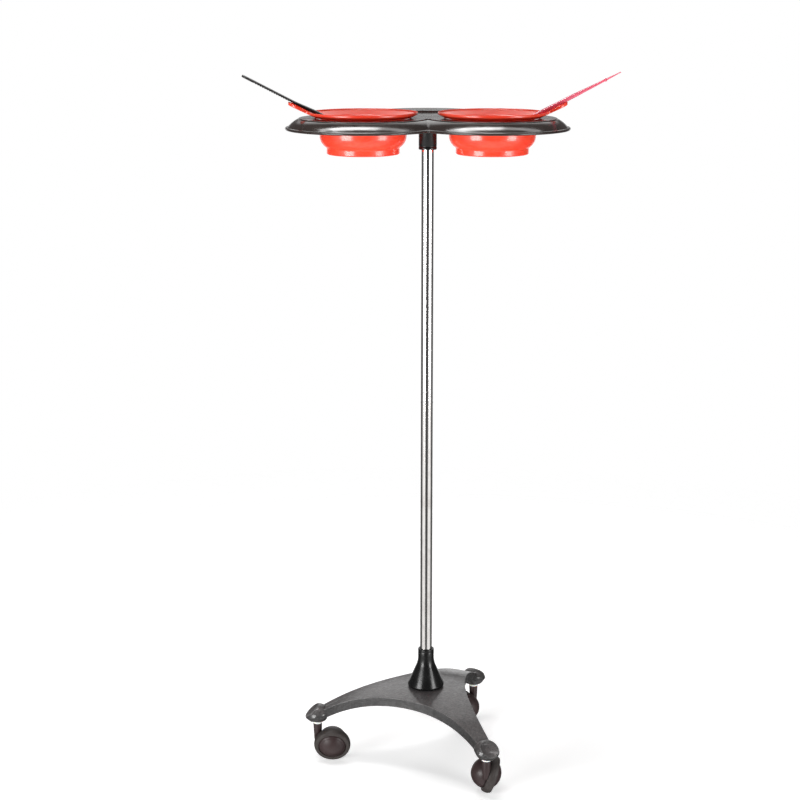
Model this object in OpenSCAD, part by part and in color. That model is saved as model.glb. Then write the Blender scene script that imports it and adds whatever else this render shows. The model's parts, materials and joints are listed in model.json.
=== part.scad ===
// Rolling salon stand: a three-lobed tray that carries two hair-colour bowls and
// their tint brushes on a two-part pole, over a three-legged base with ball casters.
// Millimetres. The floor is z = 0, +X points right, +Y to the back, +Z up.
// The origin is on the floor in the middle of the stand's footprint. Each sub-part is
// drawn about the pole's axis, which stands at [0, pole_y].

/* [Pole] */
// Outer diameter of the two pole tubes
tube_d = 16; // [15:0.5:18]
// Wall thickness of the pole tubes
tube_wall = 1.2; // [1:0.1:1.5]
// Height of the joint between the lower and the upper tube
seam_z = 504; // [450:1:560]
// Place of the pole's axis in front of (-) or behind (+) the origin
pole_y = -32; // [-40:0.5:-20]
// Height of the bell cover's top
bell_top_z = 160.5; // [155:0.5:165]

/* [Tray] */
// Height of the tray's flat top
tray_z = 876; // [850:1:900]
// Outer radius of each of the tray's three lobes
lobe_r = 99.5; // [98:0.5:102]
// Sideways distance from the pole's axis to each bowl's axis
bowl_x = 82.4; // [81:0.2:85]
// Diameter of the two holes that the bowls hang in
bowl_hole_d = 121; // [120:0.5:122]
// Distance from the pole's axis back to the dryer hole's axis
dryer_y = 106; // [100:1:112]
// Diameter of the dryer hole
dryer_hole_d = 60; // [50:1:64]
// Length of each tool slot
slot_len = 40; // [30:1:44]
// Width of each tool slot
slot_w = 10; // [8:1:12]

/* [Bowls] */
// Diameter of a bowl's rim
rim_d = 139.4; // [138:0.2:141]
// Height of the rim above the tray's top
rim_up = 7.7; // [7.5:0.1:9]
// Depth of a bowl's foot below the tray's top
foot_down = 45.7; // [44:0.1:48]
// Wall thickness of a bowl
bowl_wall = 2; // [1.8:0.1:2.2]
// Rise of the tongue handle above the horizontal, in degrees
tongue_rise = 25; // [23:0.5:27]
// Length of the tongue handle outside the rim
tongue_len = 28; // [24:1:30]

/* [Brushes] */
// Rise of a resting brush above the horizontal, in degrees
brush_rise = 27; // [26.5:0.1:27.5]
// Width of a brush's bristle row
bristle_w = 42; // [36:1:46]
// Length of the bristles that stand out of the head
bristle_len = 31; // [28:1:32]

/* [Base] */
// Distance from the pole's axis to each caster stem
stem_reach = 148.5; // [146:0.5:150]
// Height of the base plate's top at the pole
hub_z = 106.5; // [104:0.5:108]
// Thickness of the base plate's side wall
plate_t = 13; // [11:0.5:14]
// Compass direction of the left leg; the others follow at 120 and 240 degrees
leg_turn = 181.5; // [178:0.5:184]

/* [Casters] */
// Outer diameter of a caster's tread ring
tread_d = 50; // [48:0.5:50]
// Width of the tread ring
tread_w = 11.4; // [10:0.2:11.6]
// Diameter of the ball that the hood and the dome form
ball_d = 41; // [40:0.2:42]
// Lean of the wheel away from the vertical, in degrees
wheel_lean = 18; // [16:1:20]
// Distance that the wheel trails behind its stem
trail = 20; // [19:0.5:21]

/* [Hidden] */
$fn = 96;

over = 1;                       // how far a cutting solid runs past the face it cuts
run_gap = 0.05;                 // radial clearance of a shaft that turns in its bore
tube_r = tube_d / 2;
insert_r = tube_r - tube_wall;
tube_top_z = tray_z - 12;
bolt_r = 5;

plate_run = 150;                // radius out to which the plate's section is drawn
leg_arc_r = 286;                // radius of the hollow edges between the legs
leg_arc_at = 340;               // distance of those edges' centres from the pole
leg_drop = 26;                  // fall of the plate's top ...
leg_drop_r = 131;               // ... at this radius
hub_boss_r = 20;
hub_boss_z = 89;
tube_seat = 6;                  // depth of the tube's seat in the plate

cup_z = 56;                     // underside of a leg's caster cup
cup_lean = 16;                  // outward lean of the cups ...
cup_lean_z = 66;                // ... about a point of the stem's axis at this height
cup_bed = [13.5, 60.5];         // foot of the leaning part, as radius and height before it leans
cup_rim = [17.3, 66.5];         // its widest point ...
cup_dome_h = 13.5;              // ... and the dome's rise above it
scoop_r = 34.4;                 // radius of the round hollow in a cup's outer side ...
scoop_at = [28.6, 95.6];        // ... and its centre, out from the stem's axis and up
stem_r = 4;
stem_top_z = 67;
stem_foot_z = 40;
collar_z = 52.9;
collar_r = 6;

crown_r = 12;                   // crown of the tread, seen in section
core_r = 19;                    // outer radius of the wheel's core
axle_r = 3;
axle_foot = -18;                // inner end of the axle, from the tread's middle
side_step = 6.6;                // sideways offset of the tread's centre from the stem
ball_r = ball_d / 2;
ball_at = -5.9;                 // the ball's centre along the axle, from the tread's middle
dome_r = 18.6;
dome_rise = 14.2;               // top of the dome along the axle, from the tread's middle
tread_r = tread_d / 2;
axle_z = (tread_r - crown_r) * cos(wheel_lean) + crown_r;
hood_face = tread_w / 2 + 0.5;  // distance of the hood's face from the wheel's middle

tray_t = 3;
lip_down = 15;                  // depth of the tray's lip below its top
flat_r = lobe_r - 17.2;         // radius of a lobe's flat top
pad_down = 6;                   // underside of the tray's pad for the pole socket
notch_r = 2;                    // fillet where the flat tops of the bowl lobes meet
notch_y = -sqrt(pow(flat_r + notch_r, 2) - bowl_x * bowl_x);
slot_at = [42, -22];            // tool slots, from the dryer hole's axis
slot_turn = 28;
socket_r = 11.6;
socket_z = 836;
flange_r = 20;
flange_t = 3.6;                 // thickness of the socket's flange
screw_r = 1.4;
screw_ring_r = 15.5;
screw_turns = [90, 210, 330];
lobes = [[-bowl_x, 0], [bowl_x, 0], [0, dryer_y]];

rim_r = rim_d / 2;
bowl_r = 57;                    // outer radius of a bowl's wall where it enters the tray
flare_foot = -1.65;             // height of the flare's underside there; it rests on the hole's edge
foot_r = 46.6;
belly_r = 18;                   // radius of the curve between wall and foot
belly_at = [37.6, -22];
tongue_w = 22;
tongue_wall = 1.8;
tongue_deep = 4.2;
rest_at = [92.9, 22.2];         // a point of the brushes' axes, from the bowl's axis and the tray's top

// Points on a circular arc about c, from angle a0 to a1.
function arc(c, r, a0, a1, n = 8) =
    [for (i = [0:n]) let (a = a0 + (a1 - a0) * i / n) c + r * [cos(a), sin(a)]];

// Height of the base plate's top at distance r from the pole.
function plate_top(r) = hub_z - leg_drop * pow(r / leg_drop_r, 2.5);

module at_pole() translate([0, pole_y, 0]) children();

module ring(r_out, r_in, z0, z1) {
    translate([0, 0, z0]) difference() {
        cylinder(r = r_out, h = z1 - z0);
        translate([0, 0, -over]) cylinder(r = r_in, h = z1 - z0 + 2 * over);
    }
}

// ---- base ----

module leg_places() {
    for (turn = [0, 120, 240]) rotate(leg_turn + turn) translate([stem_reach, 0, 0]) children();
}

module plate_outline() {
    difference() {
        circle(r = stem_reach);
        for (turn = [60, 180, 300])
            rotate(leg_turn + turn) translate([leg_arc_at, 0]) circle(r = leg_arc_r, $fn = 240);
    }
}

module plate_section() {
    steps = [for (i = [0:12]) plate_run * i / 12];
    polygon(concat(
        [for (r = steps) [r, plate_top(r)]],
        [for (i = [12:-1:0]) [steps[i], plate_top(steps[i]) - plate_t]]
    ));
}

// A cup for a caster's stem: a short upright foot, and a leaning dome that is hollow outside.
module leg_cup() {
    dome_sink = (pow(cup_rim[0], 2) - pow(cup_dome_h, 2)) / (2 * cup_dome_h);
    dome_r = cup_dome_h + dome_sink;
    difference() {
        union() {
            rotate_extrude() polygon([
                [0, cup_z], [7.5, cup_z], [12.5, cup_z + 2.6], [14.4, cup_z + 8.3], [0, cup_z + 8.3]
            ]);
            translate([0, 0, cup_lean_z]) rotate([0, cup_lean, 0]) translate([0, 0, -cup_lean_z])
                rotate_extrude() polygon(concat(
                    [[0, cup_bed[1]], cup_bed, cup_rim],
                    arc([0, cup_rim[1] - dome_sink], dome_r, asin(dome_sink / dome_r) + 4, 90)
                ));
        }
        translate([scoop_at[0], 0, scoop_at[1]]) sphere(r = scoop_r);
    }
}

module base_plate() {
    color("dimgray") at_pole() difference() {
        union() {
            intersection() {
                translate([0, 0, 30]) linear_extrude(100) plate_outline();
                rotate_extrude() plate_section();
            }
            leg_places() leg_cup();
            translate([0, 0, hub_boss_z]) cylinder(r = hub_boss_r, h = 10);
        }
        leg_places() translate([0, 0, cup_z - over])
            cylinder(r = stem_r + run_gap, h = stem_top_z - cup_z + over);
        translate([0, 0, hub_z - tube_seat]) cylinder(r = tube_r + 0.1, h = 20);
        translate([0, 0, hub_boss_z - over]) cylinder(r = bolt_r + 0.4, h = 30);
    }
}

module base_washer() {
    color("silver") at_pole() ring(11, bolt_r + 0.4, hub_boss_z - 2, hub_boss_z);
}

module base_bolt() {
    color("silver") at_pole() {
        translate([0, 0, hub_boss_z - 8.4]) cylinder(r = 8.5, h = 6.4, $fn = 6);
        translate([0, 0, hub_boss_z - 3]) cylinder(r = bolt_r - 0.1, h = 38);
    }
}

module bell_cover() {
    neck_r = 10.7;
    flare_r = 33.3;
    flare_z = 149;
    flare_end = 23;
    lip_c = [21.4, hub_z + 3.1];
    color("black") at_pole() rotate_extrude() polygon(concat(
        [[tube_r + 0.1, bell_top_z], [neck_r - 0.7, bell_top_z], [neck_r, bell_top_z - 0.7]],
        arc([neck_r + flare_r, flare_z], flare_r, 180, 180 + flare_end),
        arc(lip_c, 3.1, flare_end, -90),
        [[20.4, hub_z], [20.4, hub_z + 2.5]],
        [[tube_r + 2, flare_z - 14], [tube_r + 0.1, flare_z - 10]]
    ));
}

// ---- pole ----

module foot_insert() {
    color("silver") at_pole() ring(insert_r, bolt_r, hub_z - tube_seat, hub_z + 24);
}

module lower_tube() {
    color("silver") at_pole() ring(tube_r, insert_r, hub_z - tube_seat, seam_z);
}

module tube_joiner() {
    color("gainsboro") at_pole() {
        translate([0, 0, seam_z - 24]) cylinder(r = insert_r, h = 24);
        translate([0, 0, seam_z]) cylinder(r = tube_r + 0.2, h = 1.2);
        translate([0, 0, seam_z + 1]) cylinder(r = bolt_r - 0.1, h = 19);
    }
}

module joiner_insert() {
    color("silver") at_pole() ring(insert_r, bolt_r, seam_z + 1.2, seam_z + 25.2);
}

module upper_tube() {
    color("gainsboro") at_pole() ring(tube_r, insert_r, seam_z + 1.2, tube_top_z);
}

// ---- tray ----

module at_screws() {
    for (turn = screw_turns) rotate(turn) translate([screw_ring_r, 0, 0]) children();
}

module tray_socket() {
    top = tray_z - pad_down;
    color("black") at_pole() difference() {
        rotate_extrude() polygon([
            [0, socket_z], [socket_r - 1, socket_z], [socket_r, socket_z + 1],
            [socket_r, top - flange_t], [flange_r, top - flange_t], [flange_r, top], [0, top]
        ]);
        translate([0, 0, socket_z - over])
            cylinder(r = tube_r + 0.1, h = tube_top_z - socket_z + over);
        at_screws() translate([0, 0, top - 10]) cylinder(r = 1.7, h = 20, $fn = 32);
    }
}

module tray_screws() {
    top = tray_z - pad_down;
    color("silver") at_pole() at_screws() {
        translate([0, 0, top - flange_t - 2]) cylinder(r = 2.9, h = 2, $fn = 32);
        translate([0, 0, top - flange_t - 1]) cylinder(r = screw_r, h = 7.5, $fn = 32);
    }
}

// Half of a bowl lobe's or dryer lobe's outer section, as a solid of revolution.
module lobe_outside() {
    polygon(concat(
        [[0, -lip_down], [0, 0]],
        arc([flat_r - 0.8, -0.8], 0.8, 90, -30, 4),
        arc([flat_r - 13.7, -32.4], 34.5, 64, 38, 6),
        arc([lobe_r - 1.8, -lip_down + 1.8], 1.8, 60, -90, 6)
    ));
}

// The hollow under a lobe.
module lobe_inside() {
    polygon(concat(
        [[0, -lip_down - over], [0, -tray_t], [flat_r - 4, -tray_t]],
        arc([flat_r - 13.7, -32.4], 34.5 - tray_t, 62, 38, 6),
        [[lobe_r - 6.2, -lip_down - over]]
    ));
}

// Flat web that closes the gap between the three flat tops.
module web_plan() {
    difference() {
        polygon([lobes[0], [0, notch_y], lobes[1], lobes[2]]);
        translate([0, notch_y]) circle(r = notch_r);
    }
}

module tool_slot() {
    half = (slot_len - slot_w) / 2;
    for (end = [-half, half]) translate([end, 0, -20]) cylinder(r = slot_w / 2, h = 40);
    translate([-half, -slot_w / 2, -20]) cube([2 * half, slot_w, 40]);
}

module tray() {
    color([0.24, 0.21, 0.2]) at_pole() translate([0, 0, tray_z]) difference() {
        union() {
            difference() {
                union() {
                    for (p = lobes) translate(p) rotate_extrude() lobe_outside();
                    translate([0, 0, -tray_t]) linear_extrude(tray_t) web_plan();
                }
                for (p = lobes) translate(p) rotate_extrude() lobe_inside();
            }
            translate([0, 0, -pad_down]) cylinder(r = flange_r, h = pad_down - 1.6);
        }
        for (side = [-1, 1]) {
            translate([side * bowl_x, 0, -20]) cylinder(d = bowl_hole_d, h = 40);
            translate([side * slot_at.x, dryer_y + slot_at.y, 0])
                rotate(90 - side * slot_turn) tool_slot();
        }
        translate([0, dryer_y, -20]) cylinder(d = dryer_hole_d, h = 40);
        at_screws() translate([0, 0, -pad_down - over])
            cylinder(r = screw_r, h = over + 3.6, $fn = 32);
    }
}

// ---- bowls and brushes, drawn with the tongue towards +X about the bowl's own axis ----

module at_bowl(side) {
    at_pole() translate([side * bowl_x, 0, tray_z]) rotate(side > 0 ? 0 : 180) children();
}

module bowl_section() {
    flare_low = [rim_r, rim_up - 3.2];
    floor_z = -foot_down + bowl_wall;
    polygon(concat(
        [[0, -foot_down + 1.2], [foot_r - 5, -foot_down + 1.2], [foot_r - 5.6, -foot_down]],
        arc([foot_r - 1.5, -foot_down + 1.5], 1.5, -90, 0, 4),
        [for (i = [8:-1:0]) arc(belly_at, belly_r, 0, -60)[i]],
        [[bowl_r, flare_foot], flare_low, [rim_r, rim_up - 0.6], [rim_r - 0.6, rim_up]],
        [[rim_r - 1.6, rim_up], [rim_r - 2.2, rim_up - 0.6], [bowl_r - bowl_wall, -0.6]],
        arc(belly_at, belly_r - bowl_wall, 0, -60),
        [[foot_r - bowl_wall, floor_z + 2], [foot_r - bowl_wall - 2, floor_z], [0, floor_z]]
    ));
}

module tongue_plan(inset) {
    translate([-10, -tongue_w / 2 + inset])
        square([10 + tongue_len - tongue_w / 2, tongue_w - 2 * inset]);
    translate([tongue_len - tongue_w / 2, 0]) circle(r = tongue_w / 2 - inset);
}

module in_tongue() translate([rim_r, 0, 4.2]) rotate([0, -tongue_rise, 0]) children();

module bowl() {
    difference() {
        union() {
            rotate_extrude() bowl_section();
            difference() {
                in_tongue() linear_extrude(tongue_deep) tongue_plan(0);
                translate([0, 0, -20]) cylinder(r = rim_r - 1.5, h = 60);
            }
        }
        in_tongue() translate([0, 0, tongue_wall]) linear_extrude(20) tongue_plan(tongue_wall);
        in_tongue() translate([tongue_len - 5, -20, tongue_deep - 1]) cube([20, 40, 20]);
    }
}

module left_bowl() color("tomato") at_bowl(-1) bowl();
module right_bowl() color("tomato") at_bowl(1) bowl();

// Brush frame: +X runs along the handle away from the bristles, +Z out of its flat face,
// and x = 0 is the bristles' tip.
module at_brush(side, tail) {
    at_bowl(side) translate([rest_at.x, 0, rest_at.y]) rotate([0, -brush_rise, 0])
        translate([-tail, 0, 0]) children();
}

head_t = 7;
neck_x = bristle_len + 24;      // where the head ends and the handle begins

// The head, and its neck from neck_bottom to neck_top.
module brush_head(neck_top, neck_bottom) {
    rotate([90, 0, 0]) translate([0, 0, -bristle_w / 2]) intersection() {
        linear_extrude(bristle_w) polygon([
            [bristle_len, -head_t / 2], [bristle_len + 12, -head_t / 2], [neck_x, neck_bottom],
            [neck_x, neck_top], [bristle_len + 12, head_t / 2], [bristle_len, head_t / 2]
        ]);
        translate([0, 20, bristle_w / 2]) rotate([90, 0, 0]) linear_extrude(40) polygon([
            [bristle_len, -bristle_w / 2], [bristle_len + 8, -bristle_w / 2],
            [neck_x, -5.6], [neck_x, 5.6],
            [bristle_len + 8, bristle_w / 2], [bristle_len, bristle_w / 2]
        ]);
    }
}

module brush_bristles() {
    rotate([90, 0, 0]) translate([0, 0, -bristle_w / 2 + 2]) linear_extrude(bristle_w - 4)
        polygon([[0, -1.6], [bristle_len, -2.6], [bristle_len, 2.6], [0, 1.6]]);
}

brush_tail = 136;               // from the bristles' tip to the resting point

// Grooves across a handle's underside, from x = first to x = last.
module grip(first, last, pitch, bottom) {
    for (x = [first:pitch:last]) translate([x, -10, bottom - 5]) cube([pitch / 2.2, 20, 5.5]);
}

module left_brush_handle() {
    half = 5.6;
    bottom = -1.4;
    top = 1.3;
    end = brush_tail + 67.6 - half;
    color([0.1, 0.1, 0.1]) at_brush(-1, brush_tail) {
        brush_head(3.3, bottom);
        difference() {
            rotate([90, 0, 0]) translate([0, 0, -half]) linear_extrude(2 * half) polygon([
                [neck_x - 1, bottom], [end, bottom], [end, top], [148, top], [110, 3.3], [neck_x - 1, 3.3]
            ]);
            grip(brush_tail, 182.5, 3.3, bottom);
        }
        translate([end, 0, bottom]) cylinder(r = half, h = top - bottom);
    }
}

module left_brush_bristles() {
    color([0.12, 0.12, 0.12]) at_brush(-1, brush_tail) brush_bristles();
}

module right_brush_handle() {
    bottom = -2.6;
    stop = brush_tail + 55.7;
    tip = brush_tail + 77.8;
    run = stop - neck_x + 1;
    color([0.93, 0.4, 0.55]) at_brush(1, brush_tail) {
        brush_head(3.6, bottom);
        difference() {
            translate([neck_x - 1, 0, 0]) rotate([0, 90, 0]) rotate_extrude()
                polygon([[0, 0], [4, 0], [3.4, 80], [2.4, run - 34], [1.6, run], [0, run]]);
            translate([neck_x - 2, -10, bottom - 10]) cube([run, 20, 10]);
            grip(brush_tail + 1.5, 156, 2.7, bottom);
        }
        translate([stop - 1, 0, 0]) rotate([0, 90, 0]) cylinder(r = 2.2, h = 2.4);
        translate([stop, 0, 0]) rotate([0, 90, 0]) cylinder(r1 = 1.3, r2 = 0.5, h = tip - stop);
    }
}

module right_brush_bristles() {
    color([0.95, 0.75, 0.8]) at_brush(1, brush_tail) brush_bristles();
}

// ---- casters, drawn about the stem's axis with the wheel trailing towards +X ----

casters = [["left", 0, 0], ["front", 120, 90], ["rear", 240, 235]];

module at_caster(i) {
    a = leg_turn + casters[i][1];
    at_pole() translate(stem_reach * [cos(a), sin(a), 0]) rotate(casters[i][2]) children();
}

// Wheel frame: +Z along the axle, out of the dome.
module in_wheel() translate([trail, -side_step, axle_z]) rotate([90 + wheel_lean, 0, 0]) children();

module stem(i) {
    color("silver") at_caster(i) translate([0, 0, stem_foot_z])
        cylinder(r = stem_r, h = stem_top_z - stem_foot_z);
}

module collar(i) {
    color("white") at_caster(i) ring(collar_r, stem_r, collar_z, cup_z);
}

module hood(i) {
    color([0.25, 0.2, 0.2]) at_caster(i) difference() {
        union() {
            in_wheel() rotate_extrude() intersection() {
                translate([0, ball_at]) circle(r = ball_r);
                translate([0, -2 * ball_r]) square([ball_r, 2 * ball_r - hood_face]);
            }
            difference() {
                translate([0, 0, 26]) cylinder(r1 = 4.8, r2 = 6.1, h = collar_z - 26);
                in_wheel() translate([0, 0, -hood_face]) cylinder(r = tread_r + 0.6, h = 60);
            }
        }
        translate([0, 0, stem_foot_z]) cylinder(r = stem_r + run_gap, h = 40);
        in_wheel() translate([0, 0, axle_foot]) cylinder(r = axle_r, h = 20);
    }
}

module axle(i) {
    color("silver") at_caster(i) in_wheel() translate([0, 0, axle_foot])
        cylinder(r = axle_r, h = 9 - axle_foot);
}

module wheel(i) {
    color([0.25, 0.2, 0.2]) at_caster(i) in_wheel() difference() {
        union() {
            translate([0, 0, -4.6]) cylinder(r = core_r, h = 8.6);
            cylinder(r = 6.5, h = 10);
        }
        translate([0, 0, -10]) cylinder(r = axle_r + run_gap, h = 30);
    }
}

module tread(i) {
    half = tread_w / 2;
    crown = asin(half / crown_r);
    color([0.27, 0.24, 0.23]) at_caster(i) in_wheel() rotate_extrude() polygon(concat(
        [[core_r, -half]],
        arc([tread_r - crown_r, 0], crown_r, -crown, crown, 12),
        [[core_r, half]]
    ));
}

module dome_section(inset) {
    base = tread_w / 2 - 1.4;
    rise = dome_rise - base;
    cap_r = (dome_r * dome_r + rise * rise) / (2 * rise);
    intersection() {
        translate([0, dome_rise - cap_r]) circle(r = cap_r - inset);
        translate([0, base - inset]) square([dome_r - inset, 2 * rise]);
    }
}

module dome(i) {
    color([0.25, 0.2, 0.2]) at_caster(i) in_wheel() rotate_extrude() difference() {
        dome_section(0);
        dome_section(1.8);
    }
}

base_plate();
base_washer();
base_bolt();
bell_cover();
foot_insert();
lower_tube();
tube_joiner();
joiner_insert();
upper_tube();
tray_socket();
tray_screws();
tray();
left_bowl();
right_bowl();
left_brush_handle();
left_brush_bristles();
right_brush_handle();
right_brush_bristles();
stem(0);  // left_stem
collar(0);  // left_collar
hood(0);  // left_hood
axle(0);  // left_axle
wheel(0);  // left_wheel
tread(0);  // left_tread
dome(0);  // left_dome
stem(1);  // front_stem
collar(1);  // front_collar
hood(1);  // front_hood
axle(1);  // front_axle
wheel(1);  // front_wheel
tread(1);  // front_tread
dome(1);  // front_dome
stem(2);  // rear_stem
collar(2);  // rear_collar
hood(2);  // rear_hood
axle(2);  // rear_axle
wheel(2);  // rear_wheel
tread(2);  // rear_tread
dome(2);  // rear_dome
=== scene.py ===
import json
import math
import random

import bmesh
import bpy
from mathutils import Matrix, Vector
from mathutils.geometry import delaunay_2d_cdt


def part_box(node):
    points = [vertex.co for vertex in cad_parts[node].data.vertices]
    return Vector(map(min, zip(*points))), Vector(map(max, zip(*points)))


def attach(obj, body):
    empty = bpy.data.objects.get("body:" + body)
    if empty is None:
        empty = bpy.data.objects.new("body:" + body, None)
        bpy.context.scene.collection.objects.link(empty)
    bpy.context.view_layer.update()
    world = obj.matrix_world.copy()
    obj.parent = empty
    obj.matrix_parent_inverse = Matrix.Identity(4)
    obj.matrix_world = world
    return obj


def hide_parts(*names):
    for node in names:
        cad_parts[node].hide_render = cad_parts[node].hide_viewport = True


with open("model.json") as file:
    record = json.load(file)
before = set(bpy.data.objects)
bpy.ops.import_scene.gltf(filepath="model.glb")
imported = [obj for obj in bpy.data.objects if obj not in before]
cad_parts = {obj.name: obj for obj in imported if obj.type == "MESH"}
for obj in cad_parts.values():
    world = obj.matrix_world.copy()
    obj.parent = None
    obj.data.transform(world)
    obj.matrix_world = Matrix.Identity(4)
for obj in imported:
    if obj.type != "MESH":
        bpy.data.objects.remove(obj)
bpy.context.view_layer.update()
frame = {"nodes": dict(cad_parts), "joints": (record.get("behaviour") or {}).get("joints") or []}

joints = {j["name"]: j for j in frame["joints"]}
random.seed(7)

MM = 0.001
DEG = math.pi / 180
SHARP = 38 * DEG  # edges that turn more than this are drawn sharp


# ---- places ----

def shift(x, y, z):
    """A translation, in millimetres."""
    return Matrix.Translation(Vector((x, y, z)) * MM)


def turn(degrees, axis):
    """A rotation about an axis through the origin."""
    return Matrix.Rotation(degrees * DEG, 4, axis)


tube_lo, tube_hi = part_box("upper_tube")
TRAY_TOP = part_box("tray")[1].z
pole_at = (tube_lo + tube_hi) / 2
AT_POLE = Matrix.Translation((pole_at.x, pole_at.y, 0))
AT_TRAY = Matrix.Translation((pole_at.x, pole_at.y, TRAY_TOP))

bowl_lo, bowl_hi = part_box("right_bowl")
RIM_R = (bowl_hi.y - bowl_lo.y) / 2 / MM
BOWL_X = (bowl_lo.x - pole_at.x) / MM + RIM_R
AT_BOWL = {
    "left": AT_TRAY @ shift(-BOWL_X, 0, 0) @ turn(180, "Z"),
    "right": AT_TRAY @ shift(BOWL_X, 0, 0),
}
BRUSH_RISE = 27  # degrees above the horizontal
BRUSH_TAIL = 136  # from the bristles' tips to the place where the brush rests
REST_AT = (92.9, 22.2)  # that place, as distance from the bowl's axis and height over the tray
AT_BRUSH = {
    side: AT_BOWL[side] @ shift(REST_AT[0], 0, REST_AT[1]) @ turn(-BRUSH_RISE, "Y")
    @ shift(-BRUSH_TAIL, 0, 0)
    for side in AT_BOWL
}

TRAIL, SIDE_STEP = 20, 6.6  # from the stem's axis to the wheel, behind it and beside it
WHEEL_LEAN = 18
AT_STEM, AT_WHEEL = {}, {}
for corner in ("left", "front", "rear"):
    stem_at = Vector(joints[corner + "_swivel"]["pos_m"])
    wheel_at = Vector(joints[corner + "_roll"]["pos_m"])
    away = wheel_at - stem_at
    heading = math.atan2(away.y, away.x) + math.atan2(SIDE_STEP, TRAIL)
    AT_STEM[corner] = Matrix.Translation((stem_at.x, stem_at.y, 0)) @ Matrix.Rotation(heading, 4, "Z")
    AT_WHEEL[corner] = (Matrix.Translation(wheel_at) @ Matrix.Rotation(heading, 4, "Z")
                        @ turn(90 + WHEEL_LEAN, "X"))


# ---- shape helpers, in millimetres ----

def polar(r, degrees):
    return r * math.cos(degrees * DEG), r * math.sin(degrees * DEG)


def arc(cx, cy, r, a0, a1, n):
    """n + 1 points on an arc, angles in degrees."""
    spokes = [polar(r, a0 + (a1 - a0) * i / n) for i in range(n + 1)]
    return [(cx + x, cy + y) for x, y in spokes]


def solid(verts, faces):
    """A mesh whose normals point outward and whose sharp edges are marked."""
    bm = bmesh.new()
    made = [bm.verts.new(v) for v in verts]
    for f in faces:
        try:
            bm.faces.new([made[i] for i in f])
        except ValueError:  # a face that is there already
            pass
    bmesh.ops.remove_doubles(bm, verts=bm.verts, dist=1e-4)
    bmesh.ops.recalc_face_normals(bm, faces=bm.faces)
    mesh = bpy.data.meshes.new("shape")
    bm.to_mesh(mesh)
    bm.free()
    return mesh


def skin(rings, loop=False):
    """Vertices and faces of the surface through closed rings; a ring of one point closes it."""
    verts, faces, starts = [], [], []
    for ring in rings:
        starts.append(len(verts))
        verts.extend(ring)
    pairs = list(zip(range(len(rings)), range(1, len(rings))))
    if loop:
        pairs.append((len(rings) - 1, 0))
    for a, b in pairs:
        na, nb, sa, sb = len(rings[a]), len(rings[b]), starts[a], starts[b]
        for i in range(max(na, nb)):
            j = (i + 1) % max(na, nb)
            if na == 1:
                faces.append((sa, sb + i, sb + j))
            elif nb == 1:
                faces.append((sa + i, sb, sa + j))
            else:
                faces.append((sa + i, sb + i, sb + j, sa + j))
    return verts, faces


def revolve(section, n=96, loop=False):
    """The mesh of a section of (radius, height) points turned about Z."""
    rings = []
    for r, z in section:
        if r < 1e-6:
            rings.append([(0, 0, z)])
        else:
            rings.append([(r * math.cos(2 * math.pi * i / n), r * math.sin(2 * math.pi * i / n), z)
                          for i in range(n)])
    return solid(*skin(rings, loop))


def moved(mesh, matrix):
    """A copy of the mesh, moved by a matrix whose shift is in metres."""
    copy = mesh.copy()
    in_mm = matrix.copy()
    in_mm.translation = matrix.translation / MM
    copy.transform(in_mm)
    return copy


def combined(a, b, how):
    """Boolean of two meshes: UNION, DIFFERENCE or INTERSECT."""
    objects = [bpy.data.objects.new("tmp", m) for m in (a, b)]
    for o in objects:
        bpy.context.scene.collection.objects.link(o)
    step = objects[0].modifiers.new("cut", "BOOLEAN")
    step.operation, step.solver, step.object = how, "EXACT", objects[1]
    depsgraph = bpy.context.evaluated_depsgraph_get()
    result = bpy.data.meshes.new_from_object(objects[0].evaluated_get(depsgraph))
    for o in objects:
        bpy.data.objects.remove(o)
    return result


def rounded_rectangle(half, top, bottom, r, n):
    """Points round a rectangle with rounded corners."""
    points = []
    for x, y, a in ((half - r, top - r, 0), (r - half, top - r, 90),
                    (r - half, bottom + r, 180), (half - r, bottom + r, 270)):
        points += arc(x, y, r, a, a + 90, n)
    return points


def rounded_block(x0, x1, y, z, r):
    """A block along X with rounded long edges, as a mesh."""
    section = rounded_rectangle(y, z, -z, r, 3)
    ends = [[(x, p, q) for p, q in section] for x in (x0, x1)]
    return solid(*skin([[(x0, 0, 0)], *ends, [(x1, 0, 0)]]))


def cylinder(r, z0, z1, n=96):
    return revolve([(0, z0), (r, z0), (r, z1), (0, z1)], n)


def piece(name, mesh, at, body, slot, replaces=(), weighted=False):
    """Puts a mesh drawn in millimetres into the scene as a piece that rides on a CAD body."""
    mesh = mesh.copy()
    mesh.name = name
    mesh.transform(at @ Matrix.Scale(MM, 4))
    bm = bmesh.new()
    bm.from_mesh(mesh)
    for f in bm.faces:
        f.smooth = True
    for e in bm.edges:
        e.smooth = len(e.link_faces) == 2 and e.calc_face_angle() < SHARP
    bm.to_mesh(mesh)
    bm.free()
    mesh.materials.clear()
    mesh.materials.append(MATERIALS[slot])
    obj = bpy.data.objects.new(name, mesh)
    bpy.context.scene.collection.objects.link(obj)
    if weighted:
        flat = obj.modifiers.new("flat", "WEIGHTED_NORMAL")
        flat.keep_sharp = True
    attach(obj, body)
    if replaces:
        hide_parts(*replaces)
    return obj


# ---- materials ----

MIX_A, MIX_B, MIX_OUT = 6, 7, 2  # sockets of a Mix node that mixes colours


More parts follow.
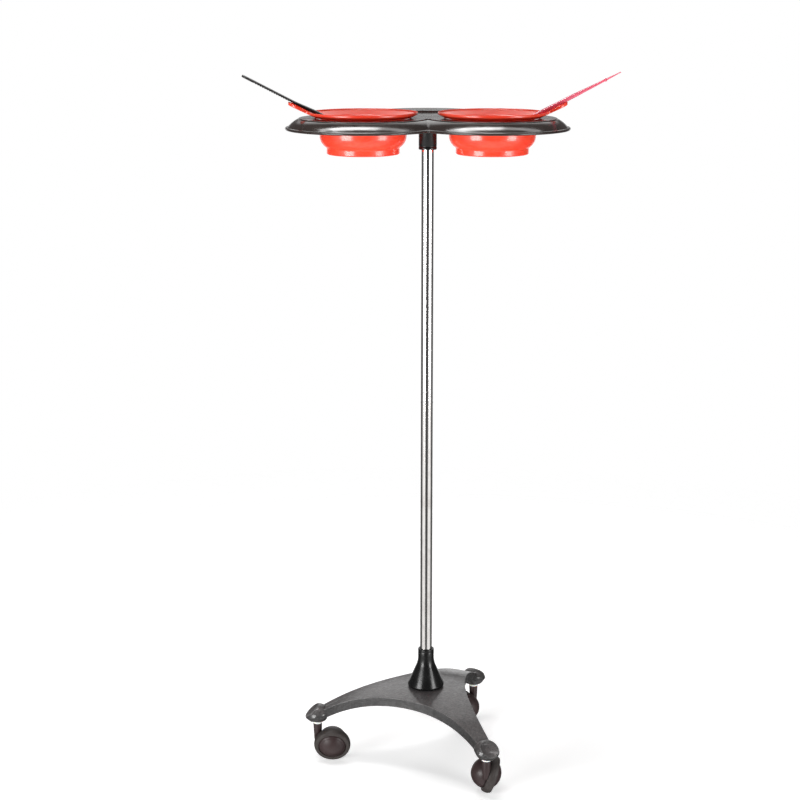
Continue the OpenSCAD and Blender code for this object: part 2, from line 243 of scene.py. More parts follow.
class Nodes:
    """A material's nodes, with short calls for those used here."""

    def __init__(self, name, **constants):
        self.material = bpy.data.materials.new(name)
        self.material.use_nodes = True
        self.tree = self.material.node_tree
        self.tree.nodes.clear()
        self.out = self.new("OutputMaterial")
        self.bsdf = self.new("BsdfPrincipled", **constants)
        self.link(self.bsdf.outputs[0], self.out.inputs[0])
        self.coord = self.new("TexCoord")
        self.object_coord = self.coord.outputs["Object"]

    def new(self, kind, **constants):
        """A node with constants on the sockets that the keywords name."""
        node = self.tree.nodes.new("ShaderNode" + kind)
        for key, value in constants.items():
            node.inputs[key.replace("_", " ")].default_value = value
        return node

    def link(self, a, b):
        self.tree.links.new(a, b)

    def scaled(self, scale, rotation=(0, 0, 0)):
        node = self.new("Mapping", Scale=scale, Rotation=rotation)
        self.link(self.object_coord, node.inputs["Vector"])
        return node.outputs[0]

    def noise(self, scale, detail=4, coord=None, rough=0.55, distortion=0):
        node = self.new("TexNoise", Scale=scale, Detail=detail, Roughness=rough, Distortion=distortion)
        self.link(coord or self.object_coord, node.inputs["Vector"])
        return node.outputs["Fac"]

    def cells(self, scale, smooth=0.6):
        node = self.new("TexVoronoi")
        node.feature = "SMOOTH_F1"
        node.inputs["Scale"].default_value = scale
        node.inputs["Smoothness"].default_value = smooth
        self.link(self.object_coord, node.inputs["Vector"])
        return node.outputs["Distance"]

    def ranged(self, value, low, high, to_low=0.0, to_high=1.0):
        node = self.new("MapRange", From_Min=low, From_Max=high, To_Min=to_low, To_Max=to_high)
        self.link(value, node.inputs["Value"])
        return node.outputs["Result"]

    def colour(self, socket):
        self.link(socket, self.bsdf.inputs["Base Color"])

    def roughness(self, socket):
        self.link(socket, self.bsdf.inputs["Roughness"])

    def mixed(self, factor, a, b):
        node = self.new("Mix")
        node.data_type = "RGBA"
        self.link(factor, node.inputs["Factor"])
        for value, socket in ((a, node.inputs[MIX_A]), (b, node.inputs[MIX_B])):
            if isinstance(value, tuple):
                socket.default_value = (*value, 1)
            else:
                self.link(value, socket)
        return node.outputs[MIX_OUT]

    def product(self, a, b):
        node = self.new("Math")
        node.operation = "MULTIPLY"
        self.link(a, node.inputs[0])
        self.link(b, node.inputs[1])
        return node.outputs[0]

    def bumps(self, *layers):
        """Bump layers of (height, distance in metres), one on another."""
        normal = None
        for height, distance in layers:
            node = self.new("Bump", Distance=distance)
            self.link(height, node.inputs["Height"])
            if normal:
                self.link(normal, node.inputs["Normal"])
            normal = node.outputs[0]
        self.link(normal, self.bsdf.inputs["Normal"])

    def edges(self, low=0.515, high=0.56):
        """1 on the ridges of the mesh and 0 elsewhere."""
        return self.ranged(self.new("NewGeometry").outputs["Pointiness"], low, high)


def moulded(name, dark, light, rough, peel=0.00004, peel_scale=350, **constants):
    """Injection-moulded plastic: slight orange peel, drifting colour, handling marks and scuffs."""
    m = Nodes(name, **constants)
    drift = m.noise(28, detail=3)
    fine = m.noise(900, detail=2)
    hairs = m.noise(60, detail=5, coord=m.scaled((1, 14, 3), (0.4, 0.7, 1.1)), rough=0.7)
    smudge = m.ranged(m.noise(45, detail=6, distortion=0.6), 0.35, 0.68, rough[0], rough[1])
    m.colour(m.mixed(m.ranged(drift, 0.35, 0.65), dark, light))
    m.roughness(smudge)
    m.bumps((m.noise(peel_scale, detail=2), peel), (fine, peel * 0.15),
            (m.ranged(hairs, 0.62, 0.72), peel * 0.3))
    return m.material


def hammered_enamel():
    """Grey hammered paint: mottled, with smears on top and streaks on the side walls, and wear at the
    edges; the side walls are painted darker than the top, as painted shade from light that falls from
    above.
    """
    m = Nodes("grey_hammer_enamel", Metallic=0.1, Coat_Roughness=0.14)
    split = m.new("SeparateXYZ")
    m.link(m.coord.outputs["Normal"], split.inputs[0])
    upward = split.outputs["Z"]
    mottle = m.ranged(m.noise(260, detail=5, rough=0.7), 0.38, 0.62)
    smear = m.ranged(m.noise(34, detail=7, rough=0.68, distortion=1.6), 0.52, 0.66)
    streak = m.noise(60, detail=7, coord=m.scaled((1, 1, 0.5)), rough=0.72, distortion=0.9)
    streak = m.ranged(streak, 0.52, 0.6)
    streak = m.product(streak, m.ranged(upward, 0.25, 0.99, 1, 0.25))
    base = m.mixed(mottle, (0.066, 0.06, 0.06), (0.104, 0.094, 0.093))
    enamel_tone = m.mixed(m.product(smear, mottle), base, (0.045, 0.043, 0.043))
    enamel_tone = m.mixed(m.product(streak, mottle), enamel_tone, (0.02, 0.02, 0.02))
    # painted shade: faces that turn away from up get a darker colour than the top, standing in for the
    # shade where less light falls; the edge wear below is laid over this painted shade
    painted_shade_sides = m.mixed(mottle, (0.022, 0.021, 0.021), (0.045, 0.043, 0.043))
    enamel_tone = m.mixed(m.ranged(upward, 0.25, 0.8), painted_shade_sides, enamel_tone)
    speck = m.ranged(m.noise(700, detail=2), 0.66, 0.74)
    worn_and_shaded = m.mixed(m.product(m.edges(), m.ranged(m.noise(120), 0.35, 0.55)),
                   m.mixed(speck, enamel_tone, (0.025, 0.025, 0.025)), (0.2, 0.196, 0.193))
    m.colour(worn_and_shaded)
    m.roughness(m.ranged(m.noise(160, detail=5), 0.3, 0.7, 0.3, 0.55))
    m.link(m.ranged(streak, 0, 1, 0.6, 0), m.bsdf.inputs["Coat Weight"])
    m.bumps((m.cells(420), 0.0005), (m.noise(130, detail=4), 0.0006), (m.noise(1500, detail=3), 0.00008))
    return m.material


def plated(name, dark, light, rough, lines, waviness):
    """Plated tube: drawing lines along Z, faint waviness, finger marks and pits."""
    m = Nodes(name, Metallic=1.0)
    drawn = m.noise(600, detail=4, coord=m.scaled((1, 1, 0.012)), rough=0.7)
    marks = m.noise(35, detail=7, rough=0.62, distortion=0.8)
    pits = m.ranged(m.noise(1100, detail=1), 0.72, 0.8)
    tone = m.mixed(m.ranged(marks, 0.4, 0.66), light, dark)
    m.colour(m.mixed(pits, tone, tuple(0.5 * x for x in dark)))
    m.roughness(m.ranged(marks, 0.36, 0.7, rough[0], rough[1]))
    m.bumps((drawn, lines), (m.noise(40, detail=2), waviness))
    return m.material


def zinc_plate():
    """Zinc-plated steel with fine spangles."""
    m = Nodes("zinc_steel", Metallic=1.0)
    spangle = m.cells(900, smooth=0.2)
    m.colour(m.mixed(m.ranged(spangle, 0.1, 0.7), (0.5, 0.5, 0.47), (0.66, 0.66, 0.64)))
    m.roughness(m.ranged(m.noise(300, detail=4), 0.3, 0.7, 0.24, 0.42))
    m.bumps((m.noise(2500, detail=3), 0.00002), (spangle, 0.00001))
    return m.material


def rubber():
    """Dark rubber, dusty in patches."""
    m = Nodes("tread_rubber", Specular_IOR_Level=0.4)
    dust = m.ranged(m.noise(90, detail=7, rough=0.7), 0.45, 0.75)
    m.colour(m.mixed(dust, (0.034, 0.027, 0.025), (0.052, 0.044, 0.04)))
    m.roughness(m.ranged(m.noise(400, detail=4), 0.3, 0.7, 0.45, 0.68))
    m.bumps((m.noise(1600, detail=4), 0.00005), (m.noise(260, detail=3), 0.00008))
    return m.material


def filament(name, dark, light, **constants):
    """Nylon bristles, each a little lighter or darker than the next."""
    m = Nodes(name, **constants)
    m.colour(m.mixed(m.ranged(m.noise(700, detail=3), 0.3, 0.7), dark, light))
    m.roughness(m.ranged(m.noise(1500), 0.3, 0.7, 0.28, 0.5))
    m.bumps((m.noise(4000, detail=2), 0.00001))
    return m.material


FADE_FROM, FADE_TO = 0.6, 1.5  # metres from the origin between which the floor fades


def floor_paper():
    """Pale paper that fades into the white background away from the stand."""
    m = Nodes("floor_paper", Emission_Color=(1, 1, 1, 1), Emission_Strength=0.46)
    m.colour(m.mixed(m.noise(3, detail=3), (0.93, 0.93, 0.93), (0.95, 0.95, 0.95)))
    m.roughness(m.ranged(m.noise(8), 0.3, 0.7, 0.75, 0.85))
    far = m.new("VectorMath")
    far.operation = "LENGTH"
    m.link(m.object_coord, far.inputs[0])
    clear, fade = m.new("BsdfTransparent"), m.new("MixShader")
    m.link(m.ranged(far.outputs["Value"], FADE_FROM, FADE_TO), fade.inputs[0])
    m.link(m.bsdf.outputs[0], fade.inputs[1])
    m.link(clear.outputs[0], fade.inputs[2])
    m.link(fade.outputs[0], m.out.inputs[0])
    return m.material


MATERIALS = {
    "grey_hammer_enamel": hammered_enamel(),
    "black_plastic": moulded("black_plastic", (0.005, 0.005, 0.005), (0.008, 0.008, 0.008),
                             (0.2, 0.32), Specular_IOR_Level=0.36),
    "chrome_tube": plated("chrome_tube", (0.74, 0.72, 0.71), (0.85, 0.84, 0.83), (0.12, 0.17),
                          lines=0.000002, waviness=0.00004),
    "satin_tube": plated("satin_tube", (0.66, 0.63, 0.61), (0.84, 0.82, 0.8), (0.12, 0.18),
                         lines=0.000004, waviness=0.00005),
    "zinc_steel": zinc_plate(),
    "tray_plastic": moulded("tray_plastic", (0.028, 0.02, 0.018), (0.037, 0.027, 0.024), (0.12, 0.24),
                            peel_scale=220, Coat_Weight=0.2, Coat_Roughness=0.12),
    "bowl_plastic": moulded("bowl_plastic", (0.9, 0.058, 0.027), (0.95, 0.078, 0.038), (0.18, 0.26),
                            peel=0.00003, Subsurface_Weight=0.35, Subsurface_Scale=0.006,
                            Subsurface_Radius=(1.0, 0.25, 0.12)),
    "black_brush_plastic": moulded("black_brush_plastic", (0.012, 0.011, 0.011),
                                   (0.022, 0.02, 0.02), (0.2, 0.36)),
    "pink_brush_plastic": moulded("pink_brush_plastic", (0.9, 0.14, 0.22), (0.95, 0.2, 0.29),
                                  (0.08, 0.2), peel=0.00002, Transmission_Weight=0.3, IOR=1.49),
    "black_nylon": filament("black_nylon", (0.012, 0.012, 0.013), (0.04, 0.038, 0.038)),
    "clear_nylon": filament("clear_nylon", (0.85, 0.62, 0.66), (0.95, 0.8, 0.82),
                            Transmission_Weight=0.4),
    "collar_nylon": moulded("collar_nylon", (0.76, 0.75, 0.72), (0.84, 0.84, 0.82), (0.3, 0.45),
                            Subsurface_Weight=0.2, Subsurface_Scale=0.002),
    "hood_plastic": moulded("hood_plastic", (0.032, 0.018, 0.018), (0.042, 0.026, 0.026),
                            (0.34, 0.52), peel=0.00008, peel_scale=700, Specular_IOR_Level=0.38),
    "tread_rubber": rubber(),
}


# ---- camera, floor and light ----

camera = bpy.data.objects.new("camera", bpy.data.cameras.new("camera"))
bpy.context.scene.collection.objects.link(camera)
camera.location = (-0.0354, -2.3244, 1.0416)
camera.rotation_euler = (76.88 * DEG, 0, 0)
camera.data.lens, camera.data.sensor_width = 80.3, 36
bpy.context.scene.camera = camera
bpy.context.scene.view_settings.view_transform = "Standard"


def backdrop():
    """A pale sheet of floor that the object stands on."""
    half = 6
    corners = [(-half, -half, 0), (half, -half, 0), (half, half, 0), (-half, half, 0)]
    mesh = bpy.data.meshes.new("floor")
    mesh.from_pydata(corners, [], [(0, 1, 2, 3)])
    mesh.materials.append(floor_paper())
    floor = bpy.data.objects.new("floor", mesh)
    bpy.context.scene.collection.objects.link(floor)
    floor.visible_glossy = False


AIM_HEIGHT = 0.55  # lamps that hang higher are tilted down to this height on the pole


def softbox(name, azimuth, distance, height, size, power, mirrored_only=False):
    """A rectangular lamp that faces the pole, at an azimuth counted from the camera's side.

    A lamp that is only mirrored makes highlights and gives no other light.
    """
    lamp = bpy.data.lights.new(name, "AREA")
    lamp.shape, lamp.size, lamp.size_y, lamp.energy = "RECTANGLE", size[0], size[1], power
    obj = bpy.data.objects.new(name, lamp)
    bpy.context.scene.collection.objects.link(obj)
    a = azimuth * DEG
    obj.location = (pole_at.x + distance * math.sin(a), pole_at.y - distance * math.cos(a), height)
    aim = Vector((pole_at.x, pole_at.y, min(height, AIM_HEIGHT))) - obj.location
    obj.rotation_euler = aim.to_track_quat("-Z", "Y").to_euler()
    obj.visible_camera = False
    obj.visible_diffuse = not mirrored_only


BACK_GLOW_RISE = 36  # elevation of the bright patch behind the stand, in degrees


def studio():
    """White to the camera; what is mirrored has dark and bright bands and a bright patch behind."""
    world = bpy.data.worlds.new("studio")
    bpy.context.scene.world = world
    world.use_nodes = True
    tree = world.node_tree
    tree.nodes.clear()
    link = tree.links.new

    def new(kind):
        return tree.nodes.new("ShaderNode" + kind)

    coord, split = new("TexCoord"), new("SeparateXYZ")
    link(coord.outputs["Generated"], split.inputs[0])

    def greys(value, stops):
        ramp = new("ValToRGB")
        link(value, ramp.inputs[0])
        elements = ramp.color_ramp.elements
        while len(elements) < len(stops):
            elements.new(0.5)
        for element, (at, grey) in zip(elements, stops):
            element.position, element.color = at, (grey, grey, grey, 1)
        return ramp.outputs[0]

    def banded(component, stops):
        """Greys along one axis of the direction, from -1 at 0 to 1 at 1."""
        centre = new("MapRange")
        centre.inputs["From Min"].default_value = -1
        link(split.outputs[component], centre.inputs["Value"])
        return greys(centre.outputs[0], stops)

    # greys from the camera's side to the far side, under and over the horizon, mixed by height
    below = banded("Y", [(0.0, 0.06), (0.05, 0.07), (0.075, 1.0), (0.4, 1.0), (0.5, 0.1),
                         (0.92, 0.08), (0.95, 1.0)])
    above = banded("Y", [(0.0, 0.05), (0.1, 0.12), (0.4, 0.12), (0.6, 0.1), (1.0, 0.1)])
    height = banded("Z", [(0.0, 0.0), (0.5, 0.0), (0.56, 1.0)])

    def blended(kind, factor, a, b):
        node = new("Mix")
        node.data_type, node.blend_type = "RGBA", kind
        if factor is None:
            node.inputs["Factor"].default_value = 1
        else:
            link(factor, node.inputs["Factor"])
        link(a, node.inputs[MIX_A])
        link(b, node.inputs[MIX_B])
        return node.outputs[MIX_OUT]

    facing = new("VectorMath")
    facing.operation = "DOT_PRODUCT"
    rise = BACK_GLOW_RISE * DEG
    facing.inputs[1].default_value = (0, math.cos(rise), math.sin(rise))
    link(coord.outputs["Generated"], facing.inputs[0])
    glow = greys(facing.outputs["Value"], ((0.9, 0), (0.95, 1.3)))
    room = blended("ADD", None, blended("MIX", height, below, above), glow)
    seen, unseen = new("Background"), new("Background")
    path, mix, out = new("LightPath"), new("MixShader"), new("OutputWorld")
    link(room, unseen.inputs["Color"])
    seen.inputs["Color"].default_value = (1, 1, 1, 1)
    link(path.outputs["Is Camera Ray"], mix.inputs[0])
    link(unseen.outputs[0], mix.inputs[1])
    link(seen.outputs[0], mix.inputs[2])
    link(mix.outputs[0], out.inputs[0])


backdrop()
studio()
softbox("key_left", -45, 2.0, 0.48, (1.0, 0.72), 32)
softbox("key_right", 52, 2.0, 0.48, (0.8, 0.72), 21)
softbox("overhead", -90, 0.35, 2.9, (0.6, 1.5), 36)
softbox("strip_left", -99, 0.7, 2.9, (0.45, 1.7), 18, mirrored_only=True)
softbox("strip_right", 97, 1.0, 2.9, (0.45, 1.6), 10, mirrored_only=True)


# ---- tray ----

LOBE_R, FLAT_R = 99.5, 82.3  # radius of a lobe's edge, and of the flat inside its shoulder
DRYER_Y, DRYER_R = 106, 30
BOWL_HOLE_R = 60.5
VALLEY_R = 2  # fillet of the valleys between the lobes
SLOT_HALF, SLOT_R, SLOT_TURN = 15, 5, 28  # a tool slot's half length, half width and slant
SLOT_AT = (42, 84)
TRAY_T = 3
PAD_R, PAD_DOWN = 20, 6  # the pad under the tray that the socket is screwed to
SHOULDER_IN, SHOULDER_Z, SHOULDER_R = 13.7, -32.4, 34.5  # the shoulder's arc in section
LIP_R = 1.8  # rounding of the tray's edge
LOBES = [Vector((BOWL_X, 0)), Vector((0, DRYER_Y)), Vector((-BOWL_X, 0))]


def tray_outline(r, valley, z, per_lobe=110, per_valley=8):
    """The outline, counter-clockwise, of three lobes of radius r joined by filleted valleys."""
    points, count = [], len(LOBES)
    centres = []
    for i in range(count):
        p, q = LOBES[i], LOBES[(i + 1) % count]
        across = (q - p) / 2
        out = Vector((across.y, -across.x)).normalized()
        centres.append((p + q) / 2 + out * math.sqrt((r + valley) ** 2 - across.length_squared))
    for i in range(count):
        lobe, before, after = LOBES[i], centres[i - 1], centres[i]
        a0 = math.atan2(before.y - lobe.y, before.x - lobe.x)
        a1 = math.atan2(after.y - lobe.y, after.x - lobe.x)
        if a1 < a0:
            a1 += 2 * math.pi
        for k in range(per_lobe):
            a = a0 + (a1 - a0) * k / (per_lobe - 1)
            points.append((lobe.x + r * math.cos(a), lobe.y + r * math.sin(a), z))
        following = LOBES[(i + 1) % count]
        b0 = math.atan2(lobe.y - after.y, lobe.x - after.x)
        b1 = math.atan2(following.y - after.y, following.x - after.x)
        if b1 > b0:
            b1 -= 2 * math.pi
        for k in range(1, per_valley):
            b = b0 + (b1 - b0) * k / per_valley
            points.append((after.x + valley * math.cos(b), after.y + valley * math.sin(b), z))
    return points


def round_loop(cx, cy, r, z, n=96):
    """A circle at height z."""
    return [(cx + r * math.cos(2 * math.pi * i / n), cy + r * math.sin(2 * math.pi * i / n), z)
            for i in range(n)]


def slot_loop(side, r, z, n=10):
    """The outline of a tool slot with ends of radius r; side is -1 or 1."""
    direction = Matrix.Rotation((90 - side * SLOT_TURN) * DEG, 2)
    points = []
    for end, start in ((1, -90), (-1, 90)):
        for x, y in arc(end * SLOT_HALF, 0, r, start, start + 180, n):
            p = direction @ Vector((x, y)) + Vector((side * SLOT_AT[0], SLOT_AT[1]))
            points.append((p.x, p.y, z))
    return points


def filled(outer, holes, z):
    """Triangles that fill the outline except its holes, as vertices and faces."""
    loops = [outer] + holes
    points, edges = [], []
    for loop in loops:
        start = len(points)
        points += [Vector(p[:2]) for p in loop]
        edges += [(start + i, start + (i + 1) % len(loop)) for i in range(len(loop))]
    verts, _, faces, *_ = delaunay_2d_cdt(points, edges, [], 1, 1e-6)

    def inside(p, loop):
        hit = False
        for (ax, ay, *_), (bx, by, *_) in zip(loop, loop[1:] + loop[:1]):
            if (ay > p.y) != (by > p.y) and p.x < (bx - ax) * (p.y - ay) / (by - ay) + ax:
                hit = not hit
        return hit

    kept = []
    for f in faces:
        middle = sum((verts[i] for i in f), Vector((0, 0))) / len(f)
        if not any(inside(middle, h) for h in holes):
            kept.append(tuple(f))
    return [(v.x, v.y, z) for v in verts], kept


def tray_shape():
    """The lobed tray: a flat with a step round it, a rounded shoulder, a rolled lip and the holes."""
    edge, foot = 0.8, 0.5  # rounding of a hole's upper and lower edge
    top_edge = arc(FLAT_R - edge, -edge, edge, 90, -30, 7)
    groove = [(FLAT_R, -1.32), (FLAT_R + 0.3, -1.42), (FLAT_R + 0.8, -1.4)]
    shoulder = arc(FLAT_R - SHOULDER_IN, SHOULDER_Z, SHOULDER_R, 64, 38, 14)
    lip_groove = [(LOBE_R - 3.4, -11.42), (LOBE_R - 3, -11.56), (LOBE_R - 2.5, -11.53)]
    lip = arc(LOBE_R - LIP_R, -13.2, LIP_R, 90, -90, 10)
    lip_under = [(LOBE_R - 4.9, -15.0), (LOBE_R - 5.5, -14.6)]
    under = arc(FLAT_R - SHOULDER_IN, SHOULDER_Z, SHOULDER_R - TRAY_T, 37, 62, 8)
    outside = (top_edge + groove + shoulder + lip_groove + lip + lip_under + under
               + [(FLAT_R - 1.9, -TRAY_T - 0.35), (FLAT_R - 3.1, -TRAY_T)])
    rings = []
    for r, z in outside:
        valley = VALLEY_R + max(FLAT_R - r, 0)
        if len(rings) > len(outside) - len(under) - 5:  # the underside
            valley += TRAY_T
        rings.append(tray_outline(r, valley, z))
    parts = [skin(rings)]

    def hole(loop_at):
        """A hole's wall with both edges rounded; loop_at(grow, z) is its outline."""
        section = ([(edge - r, z - edge) for r, z in arc(0, 0, edge, 90, 0, 5)]
                   + [(foot - r, z - TRAY_T + foot) for r, z in arc(0, 0, foot, 0, -90, 4)])
        parts.append(skin([loop_at(grow, z) for grow, z in section]))
        return loop_at(edge, 0), loop_at(foot, -TRAY_T)

    holes = [hole(lambda g, z, s=s: round_loop(s * BOWL_X, 0, BOWL_HOLE_R + g, z, 128))
             for s in (-1, 1)]
    holes.append(hole(lambda g, z: round_loop(0, DRYER_Y, DRYER_R + g, z)))
    holes += [hole(lambda g, z, s=s: slot_loop(s, SLOT_R + g, z)) for s in (-1, 1)]
    parts.append(filled(rings[0], [h[0] for h in holes], 0))
    pad_edge = round_loop(0, 0, PAD_R + 0.5, -TRAY_T)
    parts.append(filled(rings[-1], [h[1] for h in holes] + [pad_edge], -TRAY_T))
    pad = [(PAD_R + 0.5, -TRAY_T), (PAD_R, -TRAY_T - 0.5), (PAD_R, -PAD_DOWN + 0.4),
           (PAD_R - 0.4, -PAD_DOWN)]
    parts.append(skin([round_loop(0, 0, r, z) for r, z in pad] + [[(0, 0, -PAD_DOWN)]]))
    verts, faces = [], []
    for v, f in parts:
        faces += [tuple(i + len(verts) for i in face) for face in f]
        verts += v
    return solid(verts, faces)


piece("tray_shell", tray_shape(), AT_TRAY, "stand", "tray_plastic", ["tray"], weighted=True)


# ---- bowls ----

TONGUE_HALF, TONGUE_END = 11, 95.1  # half width, and distance of its tip from the bowl's axis
TONGUE_SLOPE = 25  # degrees
NECK_R = 5  # plan fillet between rim and tongue
FLARE_IN, FLARE_Z = 57, -1.65  # the flare's foot, as radius and height
RIM_Z = 4.5  # height of the rim's underside
RIM_EDGE, TONGUE_EDGE = 3.2, 4.0  # height of the raised edge over that underside
BOWL_WALL = 2


def bowl_outline(inset):
    """The rim and the tongue in plan, set in by a distance, counter-clockwise from the far side."""
    turn_r = NECK_R + inset
    half, rim = TONGUE_HALF - inset, RIM_R - inset
    cy = TONGUE_HALF + NECK_R
    cx = math.sqrt((RIM_R + NECK_R) ** 2 - cy ** 2)
    a = math.atan2(cy, cx) / DEG
    tip = TONGUE_END - TONGUE_HALF
    lower = arc(0, 0, rim, -180, -a, 84)[:-1] + arc(cx, -cy, turn_r, 180 - a, 90, 6)[:-1]
    side = [(cx + (tip - cx) * i / 8, -half) for i in range(8)]
    upper = [(x, -y) for x, y in reversed(lower + side)][:-1]
    return lower + side + arc(tip, 0, half, -90, 90, 16) + upper


def flare_z(r):
    """Height of the flare's and the tongue's underside at radius r."""
    if r < RIM_R:
        return FLARE_Z + (RIM_Z - FLARE_Z) * (r - FLARE_IN) / (RIM_R - FLARE_IN)
    return RIM_Z + (r - RIM_R) * math.tan(TONGUE_SLOPE * DEG)


def blend(a, b, t):
    """From a to b, smoothly, as t goes from 0 to 1."""
    t = min(max(t, 0), 1)
    return a + (b - a) * t * t * (3 - 2 * t)


def edge_height(r):
    """Height of the raised edge over the underside: the rim's, and a little more on the tongue."""
    return blend(RIM_EDGE, TONGUE_EDGE, (r - RIM_R) / 8)


def bowl_shape():
    """The bowl: foot, waist, belly, the flare with its raised edge, and the tongue handle."""
    belly, belly_r = (37.6, -22), 18  # centre and radius of an arc in section
    waist, waist_r = (49.1, -38.97), 2.5
    meet = -55.9  # the angle at which the two arcs meet
    outline = bowl_outline(0)
    angles = [math.atan2(y, x) for x, y in outline]

    def level(r, z):
        return [(r * math.cos(a), r * math.sin(a), z) for a in angles]

    def edge(inset, up, over_floor=0.0):
        """The outline set in, at a share of the edge's height or at a height over the underside."""
        ring = []
        for (x, y), (ox, oy) in zip(bowl_outline(inset), outline):
            r = math.hypot(x, y)
            z = flare_z(r) + (over_floor if over_floor else up * edge_height(math.hypot(ox, oy)))
            ring.append((x, y, z))
        return ring

    def between(ring_a, ring_b, n):
        """Rings between two rings, whose heights follow the flare."""
        made = []
        for k in range(1, n):
            t = k / n
            ring = []
            for (ax, ay, az), (bx, by, bz) in zip(ring_a, ring_b):
                x, y = ax + (bx - ax) * t, ay + (by - ay) * t
                rise_a = az - flare_z(math.hypot(ax, ay))
                rise_b = bz - flare_z(math.hypot(bx, by))
                ring.append((x, y, flare_z(math.hypot(x, y)) + rise_a + (rise_b - rise_a) * t))
            made.append(ring)
        return made

    outside = ([(40.6, -44.5), (41.1, -44.7), (41.4, -45.4), (42.0, -45.7)]
               + arc(45.1, -44.2, 1.5, -90, 0, 6)
               + arc(waist[0], waist[1], waist_r, 180, 180 + meet, 6)
               + arc(belly[0], belly[1], belly_r, meet, 0, 14)
               + [(56.9, -3.6), (56.95, -2.7), (57.15, -2.15)])
    inside = (arc(41.6, -40.7, 3, -90, 0, 6)
              + arc(waist[0], waist[1], waist_r + BOWL_WALL, 180, 180 + meet, 6)
              + arc(belly[0], belly[1], belly_r - BOWL_WALL, meet, 0, 12)
              + [(54.9, -3.2), (55.1, -1.6), (55.6, -0.75)])
    rings = [[(0, 0, -44.5)]] + [level(r, z) for r, z in outside]
    flare_foot = level(FLARE_IN + 0.7, flare_z(FLARE_IN + 0.7))
    rings.append(flare_foot)
    low_edge = edge(0.35, 0.0)
    rings += between(flare_foot, low_edge, 7) + [low_edge]
    rings += [edge(0.1, 0.04), edge(0.0, 0.12), edge(0.0, 0.5), edge(0.0, 0.78)]
    rings += [edge(0.12, 0.9), edge(0.4, 0.975), edge(0.8, 1.0), edge(1.2, 0.975), edge(1.48, 0.9)]
    rings += [edge(1.6, 0.8), edge(1.75, 0.0, BOWL_WALL + 0.35), edge(2.1, 0.0, BOWL_WALL + 0.1)]
    top_floor = edge(2.7, 0.0, BOWL_WALL)
    lip_in = level(FLARE_IN - 0.6, flare_z(FLARE_IN - 0.6) + BOWL_WALL)
    rings += [top_floor] + between(top_floor, lip_in, 8) + [lip_in]
    rings += [level(r, z) for r, z in reversed(inside)] + [[(0, 0, -43.7)]]
    return solid(*skin(rings))


bowl_mesh = bowl_shape()
for side in ("left", "right"):
    piece(side + "_bowl_shell", bowl_mesh, AT_BOWL[side], side + "_bowl", "bowl_plastic",
          [side + "_bowl"])


# ---- brushes, drawn along +X from the bristles' tips ----

BRISTLE_LEN, BRISTLE_HALF = 31, 21  # length of the bristles and half width of the row
HEAD_LEN = 28


def loft(stations, corner=0.75, n=5):
    """A bar through stations of (x, half width, top, bottom), with rounded edges and closed ends."""
    rings = []
    for x, half, top, bottom in stations:
        r = corner * min(half, (top - bottom) / 2)
        rings.append([(x, p, q) for p, q in rounded_rectangle(half, top, bottom, r, n)])
    first, last = stations[0], stations[-1]
    rings.insert(0, [(first[0], 0, (first[2] + first[3]) / 2)])
    rings.append([(last[0], 0, (last[2] + last[3]) / 2)])
    return solid(*skin(rings))


def brush_head(neck_half, neck_top, neck_bottom):
    """Stations from the bristles' root to the handle's neck."""
    half_t = 3.5  # half the head's thickness
    stations = [(BRISTLE_LEN - 0.6, BRISTLE_HALF - 0.8, half_t - 0.5, 0.5 - half_t),
                (BRISTLE_LEN - 0.1, BRISTLE_HALF - 0.2, half_t - 0.1, 0.1 - half_t),
                (BRISTLE_LEN + 0.5, BRISTLE_HALF, half_t, -half_t)]
    for k in range(1, 17):
        x = BRISTLE_LEN + 0.5 + HEAD_LEN * k / 16
        t = (x - BRISTLE_LEN - 7) / 18
        stations.append((x, blend(BRISTLE_HALF, neck_half, t), blend(half_t, neck_top, t),
                         blend(-half_t, neck_bottom, t)))
    return stations



def black_handle():
    """A flat bar with a round end and ribs across its grip."""
    end, round_r = 203.6, 5.4
    neck, grip, grip_end = 60, 136, 184  # where the neck ends, and where the ribs begin and end
    half, top, bottom = 5.6, 1.3, -1.4  # the bar's half width, top and bottom
    stations = brush_head(6, 3.2, -1.5)
    for k in range(1, 12):
        x = neck + 70 * k / 11
        stations.append((x, blend(6, half, (x - neck) / 60), blend(3.3, top, (x - 95) / 40), bottom))
    x = grip
    while x < grip_end:
        for dx, depth in ((0, 0), (0.35, 0.45), (0.8, 0.55), (1.6, 0.55), (2.05, 0.45), (2.4, 0)):
            stations.append((x + dx, half, top, bottom + 0.55 - depth))
        x += 3.3
    for k in range(1, 5):
        x = grip_end + (end - round_r - grip_end) * k / 4
        stations.append((x, blend(half, round_r, k / 4), top, bottom))
    for k in range(1, 10):
        a = 90 * k / 10 * DEG
        thin = 0.35 * max(0, k - 7) / 2
        stations.append((end - round_r + round_r * math.sin(a), round_r * math.cos(a), top - thin,
                         bottom + thin))
    return loft(stations, corner=0.6)


